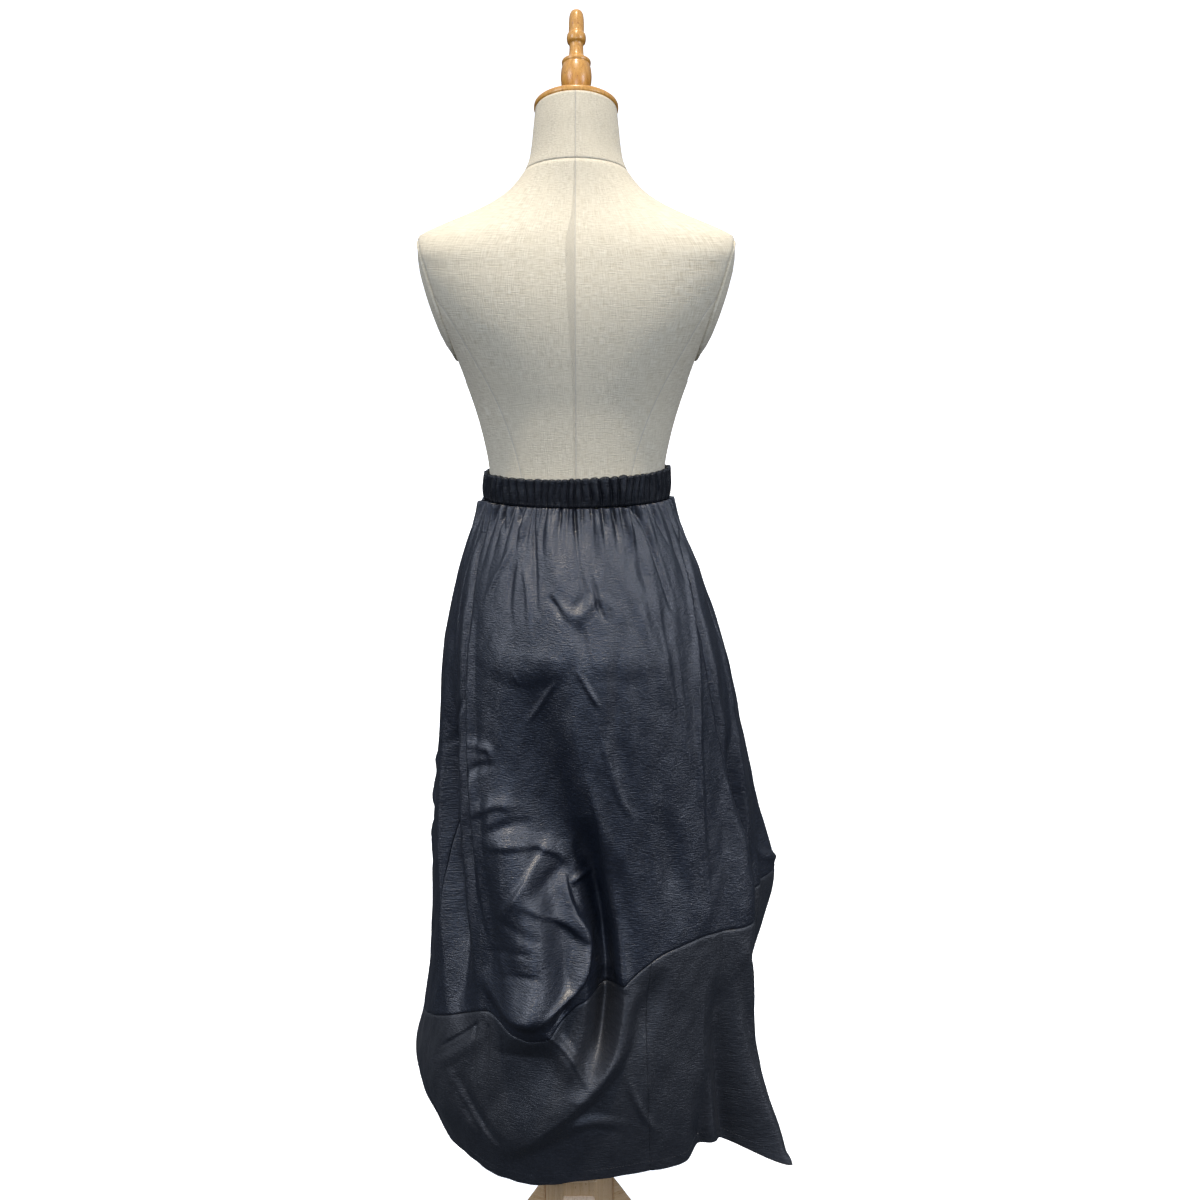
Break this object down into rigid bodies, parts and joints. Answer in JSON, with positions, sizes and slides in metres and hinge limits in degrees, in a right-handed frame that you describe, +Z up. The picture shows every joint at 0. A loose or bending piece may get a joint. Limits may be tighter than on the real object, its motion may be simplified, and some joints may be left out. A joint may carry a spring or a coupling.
{
  "type": "maxi skirt on a dress form",
  "caption": "Long dark satin skirt with a gathered elastic waist and a draped, flared hem band, worn by a limbless linen dress form with a turned wooden cap on a wooden stand.",
  "frame": {"origin": "centre of the bounding box at floor level, a little off the axis of the form because the skirt flares to one side", "axes": "+Z up. -Y is the side that the picture shows, the back of the form and of the skirt. +X is to the right when looking at that side"},
  "size_m": [0.5311, 0.4859, 1.7041],
  "materials": {
    "satin": "blue-black satin-faced cloth with fine cross slubs, glossy on slopes that face the light",
    "linen": "natural linen stretched over the form, plain weave with slubs",
    "varnished_wood": "turned beech under a clear honey varnish",
    "stand_wood": "sawn and sanded beech under a clear satin varnish"
  },
  "bodies": {
    "root": {"waistband": "satin", "back_panel": "satin", "front_panel": "satin", "hem_band_back_left": "satin", "hem_band_back_right": "satin", "hem_band_front": "satin", "form_torso": "linen", "form_neck": "linen", "armhole_plate_left": "linen", "armhole_plate_right": "linen", "neck_cap_disc": "varnished_wood", "neck_cap_finial": "varnished_wood", "base_plate": "stand_wood", "pole": "stand_wood", "stand_hub": "stand_wood", "stand_leg_1": "stand_wood", "stand_leg_2": "stand_wood", "stand_leg_3": "stand_wood"}
  },
  "joints": []
}
